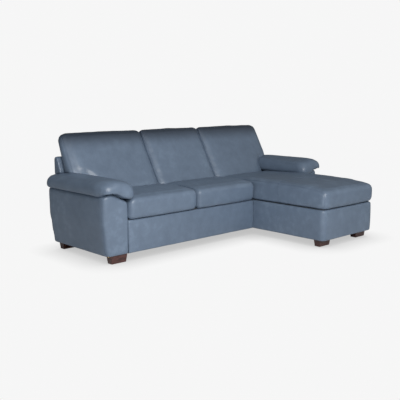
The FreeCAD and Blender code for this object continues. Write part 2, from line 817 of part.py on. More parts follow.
add("sofa_dust_cover", [bored(block(fit, sofa_end_x, panel_thickness, seat_back_y, dust_bottom, base_bottom),
                              sofa_leg_bores)])
add("sofa_feet", arm_feet(arm_foot_ys))
add("sofa_support_legs", [leg(x, y, top) for x, y, top, into in sofa_legs])
add("sofa_foot_bolts", arm_foot_bolts(arm_foot_ys) + [foot_bolt(*place) for place in sofa_legs])

sofa_springs, sofa_clips = [], []
spring_pitch = seat_width / springs_per_seat
for i in range(sofa_seats * springs_per_seat):
    x = spring_pitch * (i + 0.5)
    spring, clips = lengthwise_spring(x, rail_front_y + spring_rest, seat_back_y - spring_rest)
    sofa_springs.append(spring)
    sofa_clips += clips
add("sofa_seat_springs", sofa_springs)
add("sofa_spring_clips", sofa_clips)


# Chaise base: as wide as the seat beside the arm, and wider in front of it

front_end_y = arm_front_y - fit
chaise_y0 = chaise_front_y + panel_thickness + fit
chaise_x0 = chaise_left_x + panel_thickness + fit
chaise_front_x1 = chaise_right_x - panel_thickness - fit
chaise_rear_x1 = right_arm_x - fit
cross_y0 = front_end_y - board
panel_back_y = chaise_front_y + chaise_panel_return

chaise_feet_places = [(chaise_left_x + chaise_foot_inset_left, chaise_front_y + chaise_foot_inset_y),
                      (chaise_right_x - chaise_foot_inset_right, chaise_front_y + chaise_foot_inset_y)]
foot_block_top = base_bottom + centre_rail_height / 2
chaise_legs = [(chaise_x0 + board / 2, leg_setback, dust_bottom, base_bottom),
               (2 * centre_x - chaise_post_xs[-1] - board / 2, post_y, base_bottom, base_bottom + back_skin)]
chaise_leg_bores = [wood_bore(x, y, into) for x, y, top, into in chaise_legs]
chaise_foot_bores = [wood_bore(x, y, base_bottom) for x, y in chaise_feet_places]


def stepped(inset, y0, y1):
    """Plan outline of the chaise base, inset on its outer sides, with its step in front of the arm."""
    return [(chaise_left_x + inset, y0), (chaise_right_x - inset, y0), (chaise_right_x - inset, front_end_y),
            (chaise_rear_x1, front_end_y), (chaise_rear_x1, y1), (chaise_left_x + inset, y1)]


def front_panel():
    """The chaise's front panel, which wraps round both front corners."""
    left, right = chaise_left_x, chaise_right_x
    outside = [(left, panel_back_y), (left, chaise_front_y), (right, chaise_front_y), (right, panel_back_y)]
    left, right, inner_y = left + panel_thickness, right - panel_thickness, chaise_front_y + panel_thickness
    inside = [(right, panel_back_y), (right, inner_y), (left, inner_y), (left, panel_back_y)]
    radii = [fit, chaise_corner_radius, chaise_corner_radius, fit, fit, fit, fit, fit]
    wire = rounded_wire(outside + inside, radii, lambda x, y: Vector(x, y, base_bottom))
    return Part.Face(wire).extrude(Vector(0, 0, base_top - base_bottom))


def side_panel(x0, y1):
    """A straight side panel of the chaise from behind the front corner to y1."""
    return block(x0, x0 + panel_thickness, panel_back_y + fit, y1, base_bottom, base_top)


add("chaise_front_panel", [front_panel()])
add("chaise_side_panels", [side_panel(chaise_left_x, seat_back_y),
                           side_panel(chaise_right_x - panel_thickness, front_end_y)])
add("chaise_front_rail", [rail(chaise_x0, chaise_front_x1, chaise_y0, chaise_y0 + board, rail_top)])
add("chaise_back_rail", [rail(chaise_x0, chaise_rear_x1, rail_back_y, seat_back_y, rail_top)])
chaise_bolt_bores = mirrored(arm_rail_bores)
side_rail_y0 = chaise_y0 + board + fit
add("chaise_side_rails", [
    rail(chaise_x0, chaise_x0 + board, side_rail_y0, side_y1, rail_top, chaise_leg_bores),
    rail(chaise_front_x1 - board, chaise_front_x1, side_rail_y0, cross_y0 - fit, rail_top),
    rail(chaise_rear_x1 - board, chaise_rear_x1, front_end_y + fit, side_y1, rail_top, chaise_bolt_bores)])
add("chaise_cross_rail", [rail(chaise_x0 + board + fit, chaise_front_x1, cross_y0, front_end_y,
                               base_bottom + centre_rail_height)])
corner_blocks = []
for (x, y), way in zip(chaise_feet_places, (1, -1)):
    edge = chaise_x0 + board + fit if way > 0 else chaise_front_x1 - board - fit
    near, far = sorted((edge, x + way * foot_top_width / 4))
    whole = block(near, far, side_rail_y0, y + foot_top_depth / 2, base_bottom, foot_block_top)
    corner_blocks.append(bored(whole, chaise_foot_bores))
add("chaise_corner_blocks", corner_blocks)
add("chaise_seat_deck", [slab(stepped(panel_thickness + fit, chaise_y0, seat_back_y), deck_bottom, deck_top)])
add("chaise_dust_cover", [bored(slab(stepped(panel_thickness, chaise_y0, seat_back_y), dust_bottom, base_bottom),
                                chaise_leg_bores + chaise_foot_bores)])
add("chaise_feet", [foot(x, y, dust_bottom) for x, y in chaise_feet_places] + mirrored(arm_feet(arm_foot_ys)))
add("chaise_support_legs", [leg(x, y, top) for x, y, top, into in chaise_legs])
add("chaise_foot_bolts", [foot_bolt(x, y, dust_bottom, base_bottom) for x, y in chaise_feet_places]
    + mirrored(arm_foot_bolts(arm_foot_ys)) + [foot_bolt(*place) for place in chaise_legs])

crosswise, crosswise_clips = [], []
row_pitch = (rail_back_y - chaise_y0 - board) / chaise_springs
for i in range(chaise_springs):
    y = chaise_y0 + board + row_pitch * (i + 0.5)
    x1 = chaise_front_x1 if y < cross_y0 else chaise_rear_x1
    spring, clips = crosswise_spring(y, chaise_x0 + spring_rest, x1 - spring_rest)
    crosswise.append(spring)
    crosswise_clips += clips
add("chaise_seat_springs", crosswise)
add("chaise_spring_clips", crosswise_clips)


# Connectors: the sofa's plates carry pins, and the chaise's sockets stand over them

plates, sockets = [], []
socket_z = dust_bottom - socket_height
for y in connector_ys:
    y0, y1 = y - connector_width / 2, y + connector_width / 2
    grip = block(sofa_end_x - connector_grip, sofa_end_x, y0, y1, dust_bottom - connector_plate, dust_bottom)
    drop = block(sofa_end_x - connector_plate, sofa_end_x, y0, y1, socket_z - fit - connector_plate, dust_bottom)
    tongue = block(sofa_end_x - connector_plate, chaise_left_x + connector_tongue, y0, y1,
                   socket_z - fit - connector_plate, socket_z - fit)
    pin_x = chaise_left_x + connector_tongue / 2 + connector_plate
    pin = upright(pin_x, y, socket_z - fit, dust_bottom - fit, connector_pin_radius)
    plates.append(grip.fuse(drop).fuse(tongue).fuse(pin).removeSplitter())
    socket = block(chaise_x0, pin_x + connector_tongue / 2, y0, y1, socket_z, dust_bottom)
    hole_radius = connector_pin_radius + connector_hole_clearance
    hole = upright(pin_x, y, socket_z - past, dust_bottom + past, hole_radius)
    sockets.append(socket.cut(hole))
add("connector_plates", plates)
add("connector_sockets", sockets)


# The origin is under the middle of the whole part, on the floor

def reach_y(node):
    """Lowest and highest Y of a node's solids."""
    boxes = [solid.optimalBoundingBox(False, False) for solid in nodes[node]]
    return min(box.YMin for box in boxes), max(box.YMax for box in boxes)


front_most = min(reach_y("chaise_cushion_cover")[0], chaise_front_y)
rear_most = max(reach_y(node)[1] for node in ("back_cushion_left_cover", "back_cushion_middle_cover",
                                              "left_arm_pad_cover", "sofa_back_cover"))
to_origin = Vector(-centre_x, -(front_most + rear_most) / 2, 0)
for node, solids in nodes.items():
    shape = solids[0] if len(solids) == 1 else Part.makeCompound(solids)
    placed = shape.copy()
    placed.translate(to_origin)
    placed.exportStep("parts/" + node + ".step")
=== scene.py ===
import math

import bmesh
import bpy
import numpy as np
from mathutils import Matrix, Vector
from mathutils.bvhtree import BVHTree
from mathutils.kdtree import KDTree

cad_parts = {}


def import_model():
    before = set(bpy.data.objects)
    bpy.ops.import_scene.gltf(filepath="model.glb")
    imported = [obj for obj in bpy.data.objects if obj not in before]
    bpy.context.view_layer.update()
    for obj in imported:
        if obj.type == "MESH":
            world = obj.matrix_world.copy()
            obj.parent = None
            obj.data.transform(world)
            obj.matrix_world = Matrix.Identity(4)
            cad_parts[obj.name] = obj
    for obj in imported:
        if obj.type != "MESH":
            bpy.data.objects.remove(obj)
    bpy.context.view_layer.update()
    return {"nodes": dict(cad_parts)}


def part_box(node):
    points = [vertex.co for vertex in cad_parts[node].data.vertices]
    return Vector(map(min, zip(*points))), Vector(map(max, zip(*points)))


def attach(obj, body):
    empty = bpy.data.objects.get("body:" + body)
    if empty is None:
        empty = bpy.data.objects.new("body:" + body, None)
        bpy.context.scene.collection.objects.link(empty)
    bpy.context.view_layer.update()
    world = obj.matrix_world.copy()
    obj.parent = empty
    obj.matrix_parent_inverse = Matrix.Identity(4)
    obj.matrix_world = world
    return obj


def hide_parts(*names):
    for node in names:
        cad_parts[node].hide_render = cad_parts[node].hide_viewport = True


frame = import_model()

# Metres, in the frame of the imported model: +X towards the chaise, +Y to the back, +Z up.

# Camera that matches the photograph
camera_place = (-3.6876, -3.6226, 1.1801)
camera_lens_mm = 57.74
camera_yaw_deg = 43.165
camera_pitch_deg = 9.265

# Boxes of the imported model
chaise_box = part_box("chaise_cushion_cover")
base_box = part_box("chaise_front_panel")
panel_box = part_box("sofa_front_panel")
back_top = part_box("back_cushion_middle_cover")[1].z

# Soft pieces: the grid that skins are remeshed on, and how far each may swell
voxel = 0.010
chaise_voxel = 0.0108
back_voxel = 0.013
cloth_frames = 16
cloth_pressure = 3.6
seat_swell = 0.007
chaise_swell = 0.004
back_swell = 0.010
pad_swell = 0.006
pad_drawn_in = 0.003
arm_foot_lift = 0.0015
seat_rise = 0.002
rear_slack = 0.002
side_slip = 0.0022
cushion_clearance = 0.0008

# Unevenness of the skins: the waves' height, their length and their seed
pad_waves = (0.0009, 0.16, 31)
arm_waves = (0.0007, 0.24, 41)
seat_waves = {"left": (0.0013, 0.2, 51), "right": (0.0013, 0.2, 52)}
chaise_waves = (0.0013, 0.24, 61)
back_waves = {"left": (0.0015, 0.22, 71), "middle": (0.0015, 0.22, 72), "right": (0.0015, 0.22, 73)}
rear_waves = {"sofa_back": (0.0008, 0.3, 81), "chaise_back": (0.0008, 0.3, 82)}
sofa_panel_waves = (0.0009, 0.3, 91)
chaise_panel_waves = (0.0009, 0.3, 92)

# Seams
seam_step = 0.008
welt_radius = 0.0013
welt_stand = 0.25
furrow_width = 0.007
furrow_depth = 0.0012
stitch_length = 0.0050
stitch_pitch = 0.0078
stitch_radius = 0.0005
stitch_offset = 0.0072
stitch_stand = 0.4
least_loop_points = 20


# Shader maths as Python expressions

class Sock:
    """A shader socket that takes part in plain arithmetic."""

    def __init__(self, tree, socket):
        self.tree = tree
        self.socket = socket

    def _math(self, operation, *values):
        node = self.tree.nodes.new("ShaderNodeMath")
        node.operation = operation
        for slot, value in zip(node.inputs, values):
            if isinstance(value, Sock):
                self.tree.links.new(value.socket, slot)
            else:
                slot.default_value = value
        return Sock(self.tree, node.outputs[0])

    def __add__(self, other):
        return self._math("ADD", self, other)

    __radd__ = __add__

    def __sub__(self, other):
        return self._math("SUBTRACT", self, other)

    def __rsub__(self, other):
        return self._math("SUBTRACT", other, self)

    def __mul__(self, other):
        return self._math("MULTIPLY", self, other)

    __rmul__ = __mul__

    def clamp(self, low=0.0, high=1.0):
        return self._math("MINIMUM", self._math("MAXIMUM", self, low), high)

    def smooth(self, low, high):
        """0 below low, 1 above high, with a soft step between."""
        node = self.tree.nodes.new("ShaderNodeMapRange")
        node.interpolation_type = "SMOOTHSTEP"
        self.tree.links.new(self.socket, node.inputs["Value"])
        node.inputs["From Min"].default_value = low
        node.inputs["From Max"].default_value = high
        return Sock(self.tree, node.outputs["Result"])


class Shader:
    """A new material with a principled shader, and short ways to add nodes to it."""

    def __init__(self, name):
        self.material = bpy.data.materials.new(name)
        self.material.use_nodes = True
        self.tree = self.material.node_tree
        self.bsdf = self.tree.nodes["Principled BSDF"]
        self.place = self.node("ShaderNodeTexCoord", out="Object")

    def node(self, kind, settings=None, inputs=None, out=0):
        """Any node: its type, its settings, and values or links for its sockets by name or number."""
        made = self.tree.nodes.new(kind)
        for key, value in (settings or {}).items():
            setattr(made, key, value)
        for key, value in (inputs or {}).items():
            if isinstance(value, Sock):
                self.tree.links.new(value.socket, made.inputs[key])
            else:
                made.inputs[key].default_value = value
        return Sock(self.tree, made.outputs[out])

    def stretched(self, scale):
        """Object coordinates stretched by a scale along each axis."""
        return self.node("ShaderNodeMapping", inputs={"Vector": self.place, "Scale": scale})

    def noise(self, scale, detail=3.0, rough=0.5, warp=0.0, place=None):
        return self.node("ShaderNodeTexNoise", inputs={
            "Vector": place or self.place, "Scale": scale, "Detail": detail, "Roughness": rough,
            "Distortion": warp})

    def cells(self, scale, feature="F1", place=None):
        return self.node("ShaderNodeTexVoronoi", {"feature": feature},
                         {"Vector": place or self.place, "Scale": scale}, "Distance")

    def mix(self, factor, first, second):
        """A colour between two colours."""
        node = self.tree.nodes.new("ShaderNodeMix")
        node.data_type = "RGBA"
        for slot, value in ((node.inputs[0], factor), (node.inputs[6], first), (node.inputs[7], second)):
            if isinstance(value, Sock):
                self.tree.links.new(value.socket, slot)
            else:
                slot.default_value = value
        return Sock(self.tree, node.outputs[2])

    def bump(self, height, strength, distance, below=None):
        inputs = {"Height": height, "Strength": strength, "Distance": distance}
        if below:
            inputs["Normal"] = below
        return self.node("ShaderNodeBump", inputs=inputs, out="Normal")

    def finish(self, **values):
        """Sets the principled shader's sockets and gives back the material."""
        for key, value in values.items():
            slot = self.bsdf.inputs[key.replace("_", " ")]
            if isinstance(value, Sock):
                self.tree.links.new(value.socket, slot)
            else:
                slot.default_value = value
        return self.material


def srgb(r, g, b):
    """A linear colour from 0 to 255 values."""
    def linear(v):
        v = v / 255
        return v / 12.92 if v <= 0.04045 else ((v + 0.055) / 1.055) ** 2.4
    return (linear(r), linear(g), linear(b), 1.0)


# Painted shade that darkens the top edge of the back cushions
painted_shade_reach = 0.13
painted_shade_past = 0.002
painted_shade_strength = 0.9
painted_shade_tone = srgb(36, 43, 55)


def leather_material(name, deep, mid, pale, painted_shade_z=None):
    """Blue-grey leather: soft clouds of tone, a pebbled grain, fine creases and a satin coat.

    Above a given height, painted shade darkens the leather towards the top edge."""
    s = Shader(name)
    clouds = s.noise(2.6, 3.0, 0.5).smooth(0.30, 0.70)
    blotches = s.noise(15.0, 4.0, 0.62).smooth(0.30, 0.70)
    specks = s.noise(150.0, 3.0, 0.65)
    tone = s.mix((clouds * 0.5 + blotches * 0.5).clamp(), deep, mid)
    tone = s.mix((blotches * clouds).smooth(0.4, 1.0) * 0.45, tone, pale)
    tone = s.mix((specks - 0.38).clamp() * 0.9, tone, deep)
    # Painted shade: the leather's tone is darkened towards the top edge.
    if painted_shade_z:
        height = s.node("ShaderNodeSeparateXYZ", inputs={"Vector": s.place}, out="Z")
        top_shade = height.smooth(painted_shade_z - painted_shade_reach, painted_shade_z + painted_shade_past)
        tone = s.mix(top_shade * painted_shade_strength, tone, painted_shade_tone)
    drift = s.node("ShaderNodeTexNoise", inputs={"Vector": s.place, "Scale": 55.0}, out="Color")
    drift = s.node("ShaderNodeVectorMath", {"operation": "SCALE"}, {0: drift, "Scale": 0.004})
    bent = s.node("ShaderNodeVectorMath", {"operation": "ADD"}, {0: s.place, 1: drift})
    pebbles = s.cells(420.0, place=bent)
    pores = s.noise(900.0, 2.0, 0.5)
    creases = s.cells(70.0, "DISTANCE_TO_EDGE", place=bent).smooth(0.0, 0.10)
    soft_folds = s.noise(8.0, 3.0, 0.55, 0.6)
    grain = s.bump(pebbles * 0.7 + pores * 0.3, 0.16, 0.0009)
    creased = s.bump(creases, 0.05, 0.001, grain)
    folded = s.bump(soft_folds, 0.16, 0.005, creased)
    shine = (blotches * 0.05 + specks * 0.06 + 0.33).clamp()
    return s.finish(Base_Color=tone, Roughness=shine, Normal=folded, Specular_IOR_Level=0.5,
                    Coat_Weight=0.12, Coat_Roughness=0.3)


def foot_material():
    """Dark red-brown stained wood with a fine grain along X and a thin lacquer."""
    s = Shader("stained_foot_wood")
    along = s.stretched((2.0, 14.0, 14.0))
    rings = s.noise(9.0, 5.0, 0.6, 1.4, along).smooth(0.3, 0.7)
    fibres = s.noise(70.0, 3.0, 0.6, 0.4, along)
    tone = s.mix(rings, srgb(54, 29, 26), srgb(92, 54, 48))
    tone = s.mix((fibres - 0.4).clamp() * 0.9, tone, srgb(34, 18, 16))
    normal = s.bump(fibres * 0.6 + rings * 0.4, 0.18, 0.0006)
    return s.finish(Base_Color=tone, Roughness=(fibres * 0.18 + 0.30).clamp(), Normal=normal,
                    Coat_Weight=0.25, Coat_Roughness=0.25)


def board_material():
    """Pale sawn softwood and plywood of the frame."""
    s = Shader("sawn_frame_wood")
    along = s.stretched((1.5, 9.0, 9.0))
    rings = s.noise(7.0, 5.0, 0.6, 1.6, along).smooth(0.3, 0.72)
    fibres = s.noise(60.0, 3.0, 0.65, 0.3, along)
    tone = s.mix(rings, srgb(206, 172, 124), srgb(168, 128, 84))
    tone = s.mix((fibres - 0.45).clamp() * 0.8, tone, srgb(120, 86, 54))
    return s.finish(Base_Color=tone, Roughness=(fibres * 0.2 + 0.62).clamp(),
                    Normal=s.bump(fibres, 0.35, 0.0008))


def steel_material():
    """Zinc plated steel with faint spangle and scuffs."""
    s = Shader("zinc_plated_steel")
    spangle = s.cells(260.0)
    scuffs = s.noise(90.0, 4.0, 0.65, 0.5)
    tone = s.mix(spangle.clamp(), srgb(176, 178, 180), srgb(138, 140, 144))
    return s.finish(Base_Color=tone, Metallic=1.0, Roughness=(scuffs * 0.3 + 0.24).clamp(),
                    Normal=s.bump(scuffs, 0.08, 0.0004))


def cloth_material(name, dark, light, threads):
    """Plain woven or spun cloth: crossed threads that catch the light."""
    s = Shader(name)
    lie = {"Vector": s.place, "Scale": threads}
    warp = s.node("ShaderNodeTexWave", {"bands_direction": "X"}, lie, "Fac")
    weft = s.node("ShaderNodeTexWave", {"bands_direction": "Y"}, lie, "Fac")
    lint = s.noise(240.0, 3.0, 0.6)
    weave = warp * weft
    tone = s.mix((weave * 0.7 + lint * 0.3).clamp(), dark, light)
    return s.finish(Base_Color=tone, Roughness=(0.98 - lint * 0.1).clamp(), Sheen_Weight=0.2,
                    Normal=s.bump(weave * 0.6 + lint * 0.4, 0.4, 0.0007))


def plastic_material():
    """Black moulded plastic of the hidden legs."""
    s = Shader("black_moulded_plastic")
    skin = s.noise(600.0, 2.0, 0.5)
    scuffs = s.noise(30.0, 4.0, 0.6)
    tone = s.mix(scuffs.smooth(0.5, 0.75) * 0.5, srgb(22, 22, 24), srgb(48, 48, 50))
    return s.finish(Base_Color=tone, Roughness=(scuffs * 0.2 + 0.42).clamp(),
                    Normal=s.bump(skin, 0.15, 0.0004))


def thread_material():
    """Waxed thread a shade darker than the leather."""
    s = Shader("waxed_thread")
    twist = s.noise(1400.0, 2.0, 0.5)
    tone = s.mix(twist, srgb(58, 70, 86), srgb(88, 102, 120))
    return s.finish(Base_Color=tone, Roughness=(twist * 0.2 + 0.45).clamp(),
                    Normal=s.bump(twist, 0.3, 0.0002))


leather_deep = srgb(94, 108, 126)
leather_mid = srgb(109, 124, 143)
leather_pale = srgb(122, 138, 157)
leather = leather_material("blue_grey_leather", leather_deep, leather_mid, leather_pale)
# Leather for the back cushions, with painted shade along their top edge
top_shaded_leather = leather_material("blue_grey_top_shaded_leather", leather_deep, leather_mid, leather_pale, back_top)
welt_leather = leather_material("welt_leather", srgb(82, 96, 116), srgb(98, 113, 134), srgb(106, 122, 144))
foot_wood = foot_material()
frame_wood = board_material()
steel = steel_material()
black_cloth = cloth_material("black_spun_cloth", srgb(16, 16, 18), srgb(44, 44, 47), 420.0)
deck_cloth = cloth_material("deck_cloth", srgb(38, 42, 48), srgb(74, 80, 88), 300.0)
strap_cloth = cloth_material("webbing_cloth", srgb(120, 104, 72), srgb(196, 178, 138), 340.0)
black_plastic = plastic_material()
thread = thread_material()


# Mesh tools

# How near points are merged, and how far above a face a ray starts
merge_distance = 1e-5
ray_lift = 1e-4


def coordinates(mesh):
    """A mesh's points as an array."""
    points = np.empty(len(mesh.vertices) * 3)
    mesh.vertices.foreach_get("co", points)
    return points.reshape(-1, 3)


def set_coordinates(mesh, points):
    mesh.vertices.foreach_set("co", np.asarray(points, float).ravel())
    mesh.update()


def normals(mesh):
    """A mesh's point normals as an array."""
    values = np.empty(len(mesh.vertices) * 3, np.float32)
    mesh.vertex_normals.foreach_get("vector", values)
    return values.reshape(-1, 3).astype(float)


def smooth_faces(mesh):
    mesh.polygons.foreach_set("use_smooth", [True] * len(mesh.polygons))
    mesh.update()


def piece_from(name, mesh, material):
    """A linked object at the origin with one material and smooth faces."""
    mesh.materials.clear()
    mesh.materials.append(material)
    smooth_faces(mesh)
    piece = bpy.data.objects.new(name, mesh)
    bpy.context.scene.collection.objects.link(piece)
    return piece


def outer_skin(node):
    """The outer surface of a hollow CAD node, closed, as a bmesh."""
    bm = bmesh.new()
    bm.from_mesh(frame["nodes"][node].data)
    bmesh.ops.remove_doubles(bm, verts=bm.verts, dist=merge_distance)
    bm.verts.ensure_lookup_table()
    seen = set()
    groups = []
    for start in bm.verts:
        if start.index in seen:
            continue
        seen.add(start.index)
        group = []
        queue = [start]
        while queue:
            vert = queue.pop()
            group.append(vert)
            for edge in vert.link_edges:
                other = edge.other_vert(vert)
                if other.index not in seen:
                    seen.add(other.index)
                    queue.append(other)
        groups.append(group)

    def spread(group):
        points = np.array([v.co for v in group])
        return float(np.linalg.norm(points.max(0) - points.min(0)))

    keep = set(max(groups, key=spread))
    bmesh.ops.delete(bm, geom=[v for v in bm.verts if v not in keep], context="VERTS")
    if len(groups) == 1:
        tree = BVHTree.FromBMesh(bm)
        inner = []
        for face in bm.faces:
            start = face.calc_center_median() + face.normal * ray_lift
            hit = tree.ray_cast(start, face.normal)
            if hit[0] is not None:
                inner.append(face)
        bmesh.ops.delete(bm, geom=inner, context="FACES")
        bmesh.ops.holes_fill(bm, edges=[e for e in bm.edges if e.is_boundary], sides=0)
    bmesh.ops.recalc_face_normals(bm, faces=bm.faces)
    return bm


def remeshed(bm, size):
    """A bmesh turned into an even mesh of small quads."""
    mesh = bpy.data.meshes.new("raw")
    bm.to_mesh(mesh)
    bm.free()
    raw = bpy.data.objects.new("raw", mesh)
    bpy.context.scene.collection.objects.link(raw)
    remesh = raw.modifiers.new("remesh", "REMESH")
    remesh.mode = "VOXEL"
    remesh.voxel_size = size
    result = bpy.data.meshes.new_from_object(raw.evaluated_get(bpy.context.evaluated_depsgraph_get()))
    bpy.data.objects.remove(raw)
    bpy.data.meshes.remove(mesh)
    return result


# How far a point moves towards its neighbours' middle in one round
relax_share = 0.6


def relaxed(mesh, rounds, hold):
    """Smooths a mesh's points towards their neighbours; hold from 0 to 1 gives back what shrinks."""
    count = len(mesh.vertices)
    ends = np.empty(len(mesh.edges) * 2, int)
    mesh.edges.foreach_get("vertices", ends)
    ends = ends.reshape(-1, 2)
    degree = np.bincount(ends.ravel(), minlength=count)[:, None].astype(float)
    points = coordinates(mesh)

    def step(points, share):
        total = np.zeros_like(points)
        np.add.at(total, ends[:, 0], points[ends[:, 1]])
        np.add.at(total, ends[:, 1], points[ends[:, 0]])
        return points + share * (total / degree - points)

    for _ in range(rounds):
        points = step(points, relax_share)
        points = step(points, -relax_share * hold)
    set_coordinates(mesh, points)


def plumped(mesh, cap, drawn_in=0.006):
    """Swells a cushion's skin with air pressure as cloth: outwards by up to cap, sideways by a little."""
    before = coordinates(mesh)
    outward = normals(mesh)
    set_coordinates(mesh, before - outward * drawn_in)
    body = bpy.data.objects.new("plump", mesh)
    bpy.context.scene.collection.objects.link(body)
    cloth = body.modifiers.new("cloth", "CLOTH")
    settings = cloth.settings
    settings.quality = 4
    settings.mass = 0.3
    settings.tension_stiffness = 12.0
    settings.compression_stiffness = 12.0
    settings.shear_stiffness = 5.0
    settings.bending_stiffness = 1.2
    settings.use_pressure = True
    settings.uniform_pressure_force = cloth_pressure
    settings.effector_weights.gravity = 0.0
    cloth.point_cache.frame_start = 1
    cloth.point_cache.frame_end = cloth_frames
    scene = bpy.context.scene
    for number in range(1, cloth_frames + 1):
        scene.frame_set(number)
    swollen = bpy.data.meshes.new_from_object(body.evaluated_get(bpy.context.evaluated_depsgraph_get()))
    bpy.data.objects.remove(body)
    moved = coordinates(swollen) - before
    swell = (moved * outward).sum(1, keepdims=True)
    slip = moved - swell * outward
    reach = np.linalg.norm(slip, axis=1, keepdims=True)
    slip *= side_slip * np.tanh(reach / side_slip) / np.maximum(reach, 1e-9)
    swell = cap * np.tanh(np.maximum(swell, 0.0) / cap)
    set_coordinates(swollen, before + swell * outward + slip)
    relaxed(swollen, 2, 0.5)
    scene.frame_set(1)
    return swollen


def subdivided(mesh):
    """A mesh with every face split in four, smoothly."""
    raw = bpy.data.objects.new("raw", mesh)
    bpy.context.scene.collection.objects.link(raw)
    split = raw.modifiers.new("split", "SUBSURF")
    split.levels = 1
    split.render_levels = 1
    result = bpy.data.meshes.new_from_object(raw.evaluated_get(bpy.context.evaluated_depsgraph_get()))
    bpy.data.objects.remove(raw)
    return result


def filled_out(mesh, low, high, top):
    """Stretches a skin that smoothing has shrunk: to its box along X, and its upper half to its top."""
    points = coordinates(mesh)
    least = points[:, 0].min()
    most = points[:, 0].max()
    points[:, 0] = low.x + (points[:, 0] - least) * (high.x - low.x) / (most - least)
    middle = (low.z + high.z) / 2
    peak = points[:, 2].max()
    rise = np.clip((points[:, 2] - middle) / (peak - middle), 0, 1)
    points[:, 2] += (high.z + top - peak) * rise * rise * (3 - 2 * rise)
    set_coordinates(mesh, points)


def crowned(mesh, low, high, amount):
    """Fills the middle of a cushion's front."""
    points = coordinates(mesh)
    across = np.clip((points[:, 0] - low.x) / (high.x - low.x) * 2 - 1, -1, 1)
    up = np.clip((points[:, 2] - low.z) / (high.z - low.z) * 2 - 1, -1, 1)
    ways = normals(mesh)
    front = np.clip(-ways[:, 1], 0, 1)
    swell = amount * front * (1 - across ** 2) * (1 - up ** 2)
    set_coordinates(mesh, points + ways * swell[:, None])


# The waves that make a skin uneven: how many are added, and what their sum is divided by
wave_parts = 7
wave_peak = 1.4


def waves(points, size, seed):
    """A smooth value from about -1 to 1 at each point, that changes over about size metres."""
    random = np.random.default_rng(seed)
    total = np.zeros(len(points))
    for _ in range(wave_parts):
        way = random.normal(size=3)
        way = way / np.linalg.norm(way) * (2 * math.pi / size) * random.uniform(0.6, 1.5)
        total += np.sin(points @ way + random.uniform(0, 2 * math.pi))
    return total / wave_parts ** 0.5 / wave_peak


def undulated(mesh, amount, size, seed):
    """Gives a skin the slight unevenness of leather over wadding."""
    points = coordinates(mesh)
    shift = waves(points, size, seed) * 0.65 + waves(points, size * 0.4, seed + 1) * 0.35
    set_coordinates(mesh, points + normals(mesh) * (amount * shift)[:, None])


# Seams: a welt laid on the skin, with a row of stitches beside it

def cut_line(mesh, point, way):
    """The closed loops, as lists of points, where a plane crosses a mesh."""
    bm = bmesh.new()
    bm.from_mesh(mesh)
    cut = bmesh.ops.bisect_plane(bm, geom=bm.verts[:] + bm.edges[:] + bm.faces[:], dist=1e-6,
                                 plane_co=point, plane_no=way)["geom_cut"]
    links = {}
    for item in cut:
        if isinstance(item, bmesh.types.BMEdge):
            a, b = item.verts
            links.setdefault(a, []).append(b)
            links.setdefault(b, []).append(a)
    loops = []
    unused = set(links)
    while unused:
        start = min(unused, key=lambda v: (round(v.co.x, 6), round(v.co.y, 6), round(v.co.z, 6)))
        loop = [start]
        here = start
        unused.discard(start)
        while True:
            onward = [v for v in links[here] if v in unused]
            if not onward:
                break
            here = onward[0]
            unused.discard(here)
            loop.append(here)
        loops.append([v.co.copy() for v in loop])
    bm.free()
    return loops


def evened(points, spacing):
    """Points spaced evenly along a closed line, lightly smoothed."""
    line = np.array([tuple(p) for p in points])
    line = np.vstack([line, line[:1]])
    along = np.concatenate([[0.0], np.cumsum(np.linalg.norm(np.diff(line, axis=0), axis=1))])
    count = max(4, int(along[-1] / spacing))
    at = np.linspace(0, along[-1], count + 1)
    even = np.column_stack([np.interp(at, along, line[:, i]) for i in range(3)])[:-1]
    for _ in range(2):
        even = 0.5 * even + 0.25 * (np.roll(even, 1, 0) + np.roll(even, -1, 0))
    return [Vector(p) for p in even]


def tube(name, points, radius):
    """A thin round welt along a closed line of points, as a mesh."""
    curve = bpy.data.curves.new(name, "CURVE")
    curve.dimensions = "3D"
    curve.bevel_depth = radius
    curve.bevel_resolution = 2
    curve.resolution_u = 2
    spline = curve.splines.new("POLY")
    spline.points.add(len(points) - 1)
    for slot, point in zip(spline.points, points):
        slot.co = (*point, 1.0)
    spline.use_cyclic_u = True
    raw = bpy.data.objects.new(name, curve)
    bpy.context.scene.collection.objects.link(raw)
    result = bpy.data.meshes.new_from_object(raw.evaluated_get(bpy.context.evaluated_depsgraph_get()))
    bpy.data.objects.remove(raw)
    return result


def groove(mesh, loops):
    """Presses a seam's furrow into a skin along lists of points."""
    points = coordinates(mesh)
    seam = np.array([tuple(p) for loop in loops for p in loop])
    tree = KDTree(len(seam))
    for i, p in enumerate(seam):
        tree.insert(p, i)
    tree.balance()
    away = np.array([tree.find(p)[2] for p in points])
    press = furrow_depth * np.exp(-(away / furrow_width) ** 2)
    set_coordinates(mesh, points - normals(mesh) * press[:, None])


